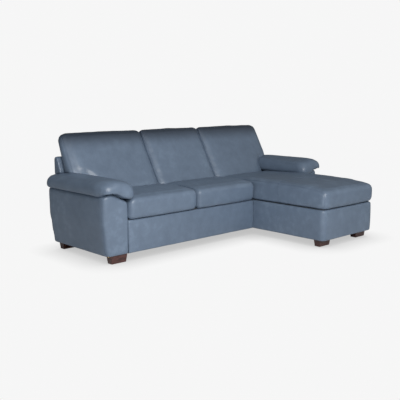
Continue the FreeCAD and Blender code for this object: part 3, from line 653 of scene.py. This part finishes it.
def stitch_rows():
    """A Geometry Nodes tree that lays short stitches along every edge line of a mesh."""
    tree = bpy.data.node_groups.new("stitch_rows", "GeometryNodeTree")
    face = tree.interface
    face.new_socket("Geometry", in_out="INPUT", socket_type="NodeSocketGeometry")
    pitch = face.new_socket("Pitch", in_out="INPUT", socket_type="NodeSocketFloat")
    long = face.new_socket("Length", in_out="INPUT", socket_type="NodeSocketFloat")
    thick = face.new_socket("Radius", in_out="INPUT", socket_type="NodeSocketFloat")
    cloth = face.new_socket("Thread", in_out="INPUT", socket_type="NodeSocketMaterial")
    face.new_socket("Geometry", in_out="OUTPUT", socket_type="NodeSocketGeometry")
    new = tree.nodes.new
    link = tree.links.new
    start = new("NodeGroupInput")
    end = new("NodeGroupOutput")
    line = new("GeometryNodeMeshToCurve")
    points = new("GeometryNodeCurveToPoints")
    points.mode = "LENGTH"
    stitch = new("GeometryNodeMeshCylinder")
    stitch.inputs["Vertices"].default_value = 6
    shape = new("GeometryNodeInstanceOnPoints")
    turn = new("FunctionNodeAlignEulerToVector")
    turn.axis = "Z"
    real = new("GeometryNodeRealizeInstances")
    paint = new("GeometryNodeSetMaterial")
    link(start.outputs["Geometry"], line.inputs["Mesh"])
    link(line.outputs["Curve"], points.inputs["Curve"])
    link(start.outputs["Pitch"], points.inputs["Length"])
    link(start.outputs["Radius"], stitch.inputs["Radius"])
    link(start.outputs["Length"], stitch.inputs["Depth"])
    link(points.outputs["Tangent"], turn.inputs["Vector"])
    link(points.outputs["Points"], shape.inputs["Points"])
    link(stitch.outputs["Mesh"], shape.inputs["Instance"])
    link(turn.outputs["Rotation"], shape.inputs["Rotation"])
    link(shape.outputs["Instances"], real.inputs["Geometry"])
    link(real.outputs["Geometry"], paint.inputs["Geometry"])
    link(start.outputs["Thread"], paint.inputs["Material"])
    link(paint.outputs["Geometry"], end.inputs["Geometry"])
    return tree, {"pitch": pitch.identifier, "length": long.identifier, "radius": thick.identifier,
                  "thread": cloth.identifier}


stitch_tree, stitch_inputs = stitch_rows()


def stitched(name, lines, body):
    """A piece that holds a row of stitches along each line of points."""
    points = []
    edges = []
    for line in lines:
        first = len(points)
        points += [tuple(p) for p in line]
        edges += [(first + i, first + i + 1) for i in range(len(line) - 1)]
    mesh = bpy.data.meshes.new(name)
    mesh.from_pydata(points, edges, [])
    raw = bpy.data.objects.new(name, mesh)
    bpy.context.scene.collection.objects.link(raw)
    rows = raw.modifiers.new("rows", "NODES")
    rows.node_group = stitch_tree
    rows[stitch_inputs["pitch"]] = stitch_pitch
    rows[stitch_inputs["length"]] = stitch_length
    rows[stitch_inputs["radius"]] = stitch_radius
    rows[stitch_inputs["thread"]] = thread
    result = bpy.data.meshes.new_from_object(raw.evaluated_get(bpy.context.evaluated_depsgraph_get()))
    bpy.data.objects.remove(raw)
    piece = piece_from(name, result, thread)
    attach(piece, body)
    return piece


def seams(name, mesh, body, loops, rows):
    """The welts and stitches of a skin along its seams: loops is a list of closed lines of points."""
    tree = BVHTree.FromPolygons([v.co for v in mesh.vertices], [p.vertices for p in mesh.polygons])
    welts = bmesh.new()
    lines = []
    for points in loops:
        line = evened(points, seam_step)
        hits = [tree.find_nearest(p) for p in line]
        raised = [hit[0] + hit[1] * welt_radius * welt_stand for hit in hits]
        part = tube(name, raised, welt_radius)
        welts.from_mesh(part)
        bpy.data.meshes.remove(part)
        count = len(line)
        for side in rows:
            row = []
            for i in range(count):
                along = (line[(i + 1) % count] - line[i - 1]).normalized()
                beside = along.cross(hits[i][1]).normalized()
                hit = tree.find_nearest(hits[i][0] + beside * stitch_offset * side)
                row.append(hit[0] + hit[1] * stitch_radius * stitch_stand)
            row.append(row[0])
            lines.append(row)
    welt_mesh = bpy.data.meshes.new(name + "_welt")
    welts.to_mesh(welt_mesh)
    welts.free()
    piece = piece_from(name + "_welt", welt_mesh, welt_leather)
    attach(piece, body)
    stitched(name + "_stitches", lines, body)


def crossing_loops(mesh, places, axis):
    """The lines where planes across an axis, at each of the places, cross a skin."""
    way = Vector((0, 0, 0))
    way[axis] = 1.0
    loops = []
    for place in places:
        loops += [loop for loop in cut_line(mesh, way * place, way) if len(loop) > least_loop_points]
    return loops


# How wings lie on the arm pads: from how far above they sink, the gap left, how deep they may start,
# and a height above everything
drape_reach = 0.05
drape_gap = 0.0006
drape_depth = 0.02
above_all = 1.0


def draped(mesh, pad_mesh, side):
    """Lays the underside of a wing on an arm pad: points near the pad's top sink towards it."""
    tree = BVHTree.FromPolygons([v.co for v in pad_mesh.vertices], [p.vertices for p in pad_mesh.polygons])
    pad_low, pad_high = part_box(side + "_arm_pad_cover")
    points = coordinates(mesh)
    over = (points[:, 0] > pad_low.x) & (points[:, 0] < pad_high.x)
    over &= points[:, 2] < pad_high.z + drape_reach
    down = Vector((0, 0, -1))
    for i in np.nonzero(over)[0]:
        x, y, z = points[i]
        hit = tree.ray_cast(Vector((x, y, above_all)), down)
        if hit[0] is None:
            continue
        above = z - hit[0].z
        if above < -drape_depth or above > drape_reach:
            continue
        near = max(above, 0.0)
        points[i, 2] = hit[0].z + drape_gap + near * (1 - (1 - near / drape_reach) ** 3)
    set_coordinates(mesh, points)
    relaxed(mesh, 3, 0.5)
    points = coordinates(mesh)
    for i in np.nonzero(over)[0]:
        x, y, z = points[i]
        hit = tree.ray_cast(Vector((x, y, above_all)), down)
        if hit[0] is not None and -drape_depth < z - hit[0].z < drape_gap:
            points[i, 2] = hit[0].z + drape_gap
    set_coordinates(mesh, points)


# Where seams run: how far behind a front or inside a side, and the joint in the chaise cushion's cover
arm_seam = 0.026
cushion_seam = 0.013
wing_seam = 0.020
chaise_joint_y = -0.268


# Arm pads

# Underside of a pad's nose: distance inwards from the arm's inner face, and height
nose_arch = ((-0.25, 0.506), (-0.20, 0.512), (-0.16, 0.513), (-0.12, 0.505), (-0.085, 0.487),
             (-0.045, 0.460), (0.0, 0.452), (0.05, 0.452))

# How far behind the arm's front the nose is shaped, and how its inner end droops
nose_blend = 0.025
nose_droop = 0.010
nose_droop_width = 0.09
nose_droop_top = 0.60
nose_droop_height = 0.10


def nose_shaped(mesh, side):
    """Lets the underside of a pad's nose follow the arm's arched front, and its inner end droop."""
    points = coordinates(mesh)
    low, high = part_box(side + "_arm_cover")
    inward = points[:, 0] - high.x if side == "left" else low.x - points[:, 0]
    arch = np.interp(inward, [u for u, z in nose_arch], [z for u, z in nose_arch])
    ahead = np.clip((low.y + nose_blend - points[:, 1]) / nose_blend, 0, 1)
    inner = np.clip((inward + nose_droop_width) / nose_droop_width, 0, 1)
    below = np.clip((nose_droop_top - points[:, 2]) / nose_droop_height, 0, 1)
    points[:, 2] -= nose_droop * ahead * (inner * below)
    points[:, 2] += ahead * np.maximum(arch - points[:, 2], 0)
    set_coordinates(mesh, points)


def pad(side):
    """The pillow top of an arm."""
    name = side + "_arm_pad"
    mesh = remeshed(outer_skin(name + "_cover"), voxel)
    relaxed(mesh, 5, 0.6)
    nose_shaped(mesh, side)
    relaxed(mesh, 7, 0.5)
    mesh = plumped(mesh, pad_swell, pad_drawn_in)
    mesh = subdivided(mesh)
    undulated(mesh, *pad_waves)
    return mesh


def arm(side):
    """The padded side of an arm, with its arched top under the pad."""
    mesh = remeshed(outer_skin(side + "_arm_cover"), voxel)
    relaxed(mesh, 6, 0.55)
    mesh = subdivided(mesh)
    undulated(mesh, *arm_waves)
    points = coordinates(mesh)
    floor_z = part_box(side + "_arm_cover")[0].z + arm_foot_lift
    points[:, 2] = np.maximum(points[:, 2], floor_z)
    set_coordinates(mesh, points)
    return mesh


# Seat cushions

def seat(side):
    """A loose seat cushion, full in the middle and pressed flat where it touches its neighbours."""
    low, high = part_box("seat_cushion_" + side + "_cover")
    mesh = remeshed(outer_skin("seat_cushion_" + side + "_cover"), voxel)
    relaxed(mesh, 6, 0.55)
    mesh = plumped(mesh, seat_swell)
    filled_out(mesh, low, high, seat_rise)
    mesh = subdivided(mesh)
    undulated(mesh, *seat_waves[side])
    points = coordinates(mesh)
    points[:, 0] = np.clip(points[:, 0], low.x - cushion_clearance, high.x + cushion_clearance)
    points[:, 1] = np.minimum(points[:, 1], high.y + rear_slack)
    points[:, 2] = np.maximum(points[:, 2], low.z)
    set_coordinates(mesh, points)
    return mesh


def chaise_cushion():
    """The long cushion of the chaise."""
    low, high = chaise_box
    mesh = remeshed(outer_skin("chaise_cushion_cover"), chaise_voxel)
    relaxed(mesh, 5, 0.55)
    mesh = plumped(mesh, chaise_swell)
    filled_out(mesh, low, high, 0.0)
    mesh = subdivided(mesh)
    undulated(mesh, *chaise_waves)
    points = coordinates(mesh)
    points[:, 0] = np.maximum(points[:, 0], low.x - cushion_clearance)
    points[:, 1] = np.minimum(points[:, 1], high.y + rear_slack)
    points[:, 2] = np.maximum(points[:, 2], low.z)
    set_coordinates(mesh, points)
    return mesh


# Back cushions

back_rise = 0.008
back_crown = 0.012

# The outer cushions' ends: rounded towards the top, and drawn back at the side
corner_round = 0.07
corner_drop = 0.010
side_round = 0.13
side_recess = 0.014
top_band = 0.12

# The leaning rear face of the back cushions: its slope, a point on it, and the cushion's depth
back_slope = math.tan(math.radians(21.9))
back_rear_y = 0.638
back_rear_z = 0.587
back_depth = 0.16


def back_cushion(side, pad_mesh):
    """A tall back cushion; the outer ones have a wing that lies over the arm pad."""
    name = "back_cushion_" + side + "_cover"
    low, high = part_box(name)
    mesh = remeshed(outer_skin(name), voxel)
    relaxed(mesh, 6, 0.55)
    if pad_mesh:
        points = coordinates(mesh)
        end = low.x if side == "left" else high.x
        off = np.abs(points[:, 0] - end)
        top = np.clip((points[:, 2] - (high.z - top_band)) / top_band, 0, 1)
        points[:, 2] -= corner_drop * np.clip(1 - off / corner_round, 0, 1) ** 2 * top
        rear = back_rear_y + (points[:, 2] - back_rear_z) * back_slope
        depth = np.clip((rear - points[:, 1]) / back_depth, 0, 1)
        points[:, 1] += side_recess * np.clip(1 - off / side_round, 0, 1) ** 2 * depth
        set_coordinates(mesh, points)
        relaxed(mesh, 3, 0.5)
    mesh = plumped(mesh, back_swell)
    filled_out(mesh, low, high, back_rise)
    crowned(mesh, low, high, back_crown)
    mesh = subdivided(mesh)
    undulated(mesh, *back_waves[side])
    if pad_mesh:
        draped(mesh, pad_mesh, side)
    points = coordinates(mesh)
    if side == "left":
        points[:, 0] = np.minimum(points[:, 0], high.x + cushion_clearance)
    elif side == "right":
        points[:, 0] = np.maximum(points[:, 0], low.x - cushion_clearance)
    else:
        points[:, 0] = np.clip(points[:, 0], low.x - cushion_clearance, high.x + cushion_clearance)
    points[:, 2] = np.maximum(points[:, 2], low.z)
    set_coordinates(mesh, points)
    return mesh


# Panels of the base

panel_radius_top = 0.016
panel_radius_bottom = 0.011
panel_puff = 0.003
panel_puff_shape = 0.7
panel_step = 0.012
panel_arc_steps = 6
panel_body_steps = 14


def panel_section(thickness, low_z, high_z):
    """The section of a padded panel, from its inner foot round the outside: (distance outwards, height)."""
    section = [(-thickness, low_z), (-panel_radius_bottom, low_z)]
    for i in range(1, panel_arc_steps + 1):
        turn = math.pi / 2 * i / panel_arc_steps
        section.append((-panel_radius_bottom + panel_radius_bottom * math.sin(turn),
                        low_z + panel_radius_bottom - panel_radius_bottom * math.cos(turn)))
    start = low_z + panel_radius_bottom
    end = high_z - panel_radius_top
    for i in range(1, panel_body_steps):
        share = i / panel_body_steps
        puff = panel_puff * math.sin(math.pi * share) ** panel_puff_shape
        section.append((puff, start + (end - start) * share))
    for i in range(panel_arc_steps + 1):
        turn = math.pi / 2 * i / panel_arc_steps
        section.append((-panel_radius_top + panel_radius_top * math.cos(turn),
                        high_z - panel_radius_top + panel_radius_top * math.sin(turn)))
    section.append((-thickness, high_z))
    return section


def panel_run(name, route, thickness, low_z, high_z, unevenness):
    """A padded panel swept along a plan route of (x, y) points, its outside on the route's right."""
    plan = np.array(route)
    along = np.concatenate([[0.0], np.cumsum(np.linalg.norm(np.diff(plan, axis=0), axis=1))])
    count = int(along[-1] / panel_step)
    at = np.linspace(0, along[-1], count + 1)
    plan = np.column_stack([np.interp(at, along, plan[:, i]) for i in range(2)])
    way = np.gradient(plan, axis=0)
    way /= np.linalg.norm(way, axis=1, keepdims=True)
    out = np.column_stack([way[:, 1], -way[:, 0]])
    section = panel_section(thickness, low_z, high_z)
    bm = bmesh.new()
    rings = []
    for (x, y), (ox, oy) in zip(plan, out):
        rings.append([bm.verts.new((x + ox * off, y + oy * off, z)) for off, z in section])
    for ring, after in zip(rings, rings[1:]):
        for i in range(len(section)):
            j = (i + 1) % len(section)
            bm.faces.new((ring[i], ring[j], after[j], after[i]))
    bm.faces.new(rings[0][::-1])
    bm.faces.new(rings[-1])
    bmesh.ops.recalc_face_normals(bm, faces=bm.faces)
    mesh = bpy.data.meshes.new(name)
    bm.to_mesh(mesh)
    bm.free()
    undulated(mesh, *unevenness)
    return mesh


def corner_arc(cx, cy, radius, start_deg, end_deg, steps=10):
    """Plan points of a rounded corner."""
    return [(cx + radius * math.cos(math.radians(start_deg + (end_deg - start_deg) * i / steps)),
             cy + radius * math.sin(math.radians(start_deg + (end_deg - start_deg) * i / steps)))
            for i in range(steps + 1)]


# The back

def back_skin(name, side):
    """The padded cover of a back frame, laid on the arm pad at its end."""
    mesh = remeshed(outer_skin(name + "_cover"), back_voxel)
    relaxed(mesh, 3, 0.55)
    mesh = subdivided(mesh)
    undulated(mesh, *rear_waves[name])
    draped(mesh, pads[side], side)
    return mesh


def sewn(name, mesh, body, across=(), along=(), rows=(1,)):
    """Sews a skin along planes across X and across Y: a furrow, a thin welt, and stitches beside it."""
    loops = crossing_loops(mesh, across, 0) + crossing_loops(mesh, along, 1)
    groove(mesh, loops)
    seams(name + "_seam", mesh, body, loops, rows)


def dress(name, mesh, body, nodes, hide=leather):
    """Adds a finished leather piece in place of its CAD nodes."""
    piece = piece_from(name, mesh, hide)
    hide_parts(*nodes)
    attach(piece, body)
    return piece


unit_of = {"left": "sofa_unit", "right": "chaise_unit"}
pads = {}
for side, unit in unit_of.items():
    mesh = pad(side)
    pads[side] = mesh
    dress(side + "_arm_pad", mesh, unit, [side + "_arm_pad_cover", side + "_arm_pad_fill"])
    mesh = arm(side)
    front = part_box(side + "_arm_cover")[0].y
    sewn(side + "_arm", mesh, unit, along=[front + arm_seam])
    dress(side + "_arm_side", mesh, unit, [side + "_arm_cover"])

for side in ("left", "right"):
    mesh = seat(side)
    body = "seat_cushion_" + side
    low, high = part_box(body + "_cover")
    sewn(body, mesh, body, across=[low.x + cushion_seam, high.x - cushion_seam])
    dress(body, mesh, body, [body + "_cover", body + "_foam"])

mesh = chaise_cushion()
low, high = chaise_box
sewn("chaise_cushion", mesh, "chaise_cushion", across=[low.x + cushion_seam, high.x - cushion_seam],
     along=[chaise_joint_y])
dress("chaise_cushion", mesh, "chaise_cushion", ["chaise_cushion_cover", "chaise_cushion_foam"])

for side in ("left", "middle", "right"):
    mesh = back_cushion(side, pads.get(side))
    body = "back_cushion_" + side
    low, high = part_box(body + "_cover")
    ends = {"left": (wing_seam, cushion_seam), "right": (cushion_seam, wing_seam)}
    first, last = ends.get(side, (cushion_seam, cushion_seam))
    sewn(body, mesh, body, across=[low.x + first, high.x - last])
    dress(body, mesh, body, [body + "_cover", body + "_foam"], top_shaded_leather)

for name, side in (("sofa_back", "left"), ("chaise_back", "right")):
    mesh = back_skin(name, side)
    low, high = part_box(name + "_cover")
    sewn(name, mesh, unit_of[side], across=[low.x + wing_seam, high.x - wing_seam], rows=(1, -1))
    dress(name, mesh, unit_of[side], [name + "_cover"])

panel_low, panel_high = panel_box
thickness = panel_high.y - panel_low.y
front_run = [(panel_low.x, panel_low.y), (panel_high.x, panel_low.y)]
mesh = panel_run("sofa_front_panel_skin", front_run, thickness, panel_low.z, panel_high.z,
                 sofa_panel_waves)
dress("sofa_front_panel_skin", mesh, "sofa_unit", ["sofa_front_panel"])

base_low, base_high = base_box
side_low, side_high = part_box("chaise_side_panels")
base_corner = 0.038
panel_gap = 0.001
base_run = [(base_low.x, side_high.y)]
base_run += corner_arc(base_low.x + base_corner, base_low.y + base_corner, base_corner, 180, 270)
base_run += corner_arc(base_high.x - base_corner, base_low.y + base_corner, base_corner, 270, 360)
base_run += [(base_high.x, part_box("right_arm_cover")[0].y - panel_gap)]
mesh = panel_run("chaise_base_skin", base_run, thickness, base_low.z, base_high.z, chaise_panel_waves)
dress("chaise_base_skin", mesh, "chaise_unit", ["chaise_front_panel", "chaise_side_panels"])


# CAD nodes that keep their shape

def finish_of(node):
    """The material of a CAD node that stays."""
    if node.endswith("_feet"):
        return foot_wood
    if "support_legs" in node:
        return black_plastic
    if "webbing" in node:
        return strap_cloth
    if "seat_deck" in node:
        return deck_cloth
    if "dust_cover" in node:
        return black_cloth
    if any(word in node for word in ("spring", "clip", "bolts", "connector")):
        return steel
    return frame_wood


for node, piece in frame["nodes"].items():
    piece.data.materials.clear()
    piece.data.materials.append(finish_of(node))


# Stage: floor, light and camera

background = 0.9228
room_tint = (0.90, 0.96, 1.0, 1.0)
room_front = 0.53
room_front_y = -0.8
room_rear = 0.13
room_rear_y = 0.5
floor_size = 30.0
floor_reach = 0.24
floor_shade = 0.46
key_place = (-1.75, -2.95, 2.10)
key_aim = (-0.55, 0.1, 0.42)
key_size = (2.6, 1.5)
key_watts = 104.0


def world():
    """A room that is lighter in front than behind, seen by the camera as a plain pale background."""
    room = bpy.data.worlds.new("pale_room")
    room.use_nodes = True
    tree = room.node_tree
    place = tree.nodes.new("ShaderNodeTexCoord")
    split = tree.nodes.new("ShaderNodeSeparateXYZ")
    tree.links.new(place.outputs["Generated"], split.inputs[0])
    ramp = tree.nodes.new("ShaderNodeMapRange")
    ramp.interpolation_type = "SMOOTHSTEP"
    tree.links.new(split.outputs["Y"], ramp.inputs["Value"])
    ramp.inputs["From Min"].default_value = room_rear_y
    ramp.inputs["From Max"].default_value = room_front_y
    ramp.inputs["To Min"].default_value = room_rear
    ramp.inputs["To Max"].default_value = room_front
    light = tree.nodes["Background"]
    light.inputs["Color"].default_value = room_tint
    tree.links.new(ramp.outputs["Result"], light.inputs["Strength"])
    seen = tree.nodes.new("ShaderNodeBackground")
    seen.inputs["Color"].default_value = (background, background, background, 1.0)
    path = tree.nodes.new("ShaderNodeLightPath")
    pick = tree.nodes.new("ShaderNodeMixShader")
    tree.links.new(path.outputs["Is Camera Ray"], pick.inputs[0])
    tree.links.new(light.outputs[0], pick.inputs[1])
    tree.links.new(seen.outputs[0], pick.inputs[2])
    tree.links.new(pick.outputs[0], tree.nodes["World Output"].inputs[0])
    return room


def floor_material():
    """A pale floor that glows as light as the background for the camera, with a painted shadow where the
    sofa stands close over it.
    """
    s = Shader("pale_floor")
    # Painted shadow: ambient occlusion near the sofa darkens the glow that the camera sees.
    open_sky = s.node("ShaderNodeAmbientOcclusion", {"samples": 12}, {"Distance": floor_reach}, "AO")
    shade = (open_sky * floor_shade + (1 - floor_shade)) * background
    s.finish(Base_Color=(0.8, 0.8, 0.8, 1.0), Roughness=0.9, Specular_IOR_Level=0.0)
    glow = s.tree.nodes.new("ShaderNodeEmission")
    s.tree.links.new(shade.socket, glow.inputs["Strength"])
    path = s.node("ShaderNodeLightPath", out="Is Camera Ray")
    pick = s.tree.nodes.new("ShaderNodeMixShader")
    s.tree.links.new(path.socket, pick.inputs[0])
    s.tree.links.new(s.bsdf.outputs[0], pick.inputs[1])
    s.tree.links.new(glow.outputs[0], pick.inputs[2])
    s.tree.links.new(pick.outputs[0], s.tree.nodes["Material Output"].inputs[0])
    return s.material


def stage():
    """A pale floor, a broad soft light from the front left, and the camera."""
    scene = bpy.context.scene
    scene.view_settings.view_transform = "Standard"
    scene.world = world()

    bm = bmesh.new()
    bmesh.ops.create_grid(bm, x_segments=4, y_segments=4, size=floor_size)
    ground = bpy.data.meshes.new("floor")
    bm.to_mesh(ground)
    bm.free()
    floor = bpy.data.objects.new("floor", ground)
    scene.collection.objects.link(floor)
    ground.materials.append(floor_material())

    lamp = bpy.data.lights.new("key", "AREA")
    lamp.shape = "RECTANGLE"
    lamp.size = key_size[0]
    lamp.size_y = key_size[1]
    lamp.energy = key_watts
    holder = bpy.data.objects.new("key", lamp)
    holder.location = key_place
    aim = Vector(key_aim) - Vector(key_place)
    holder.rotation_euler = aim.to_track_quat("-Z", "Y").to_euler()
    scene.collection.objects.link(holder)

    lens = bpy.data.cameras.new("camera")
    lens.sensor_width = 36.0
    lens.lens = camera_lens_mm
    lens.clip_end = 100.0
    camera = bpy.data.objects.new("camera", lens)
    camera.location = camera_place
    tilt = math.radians(90 - camera_pitch_deg)
    camera.rotation_euler = (tilt, 0.0, math.radians(-camera_yaw_deg))
    scene.collection.objects.link(camera)
    scene.camera = camera


stage()
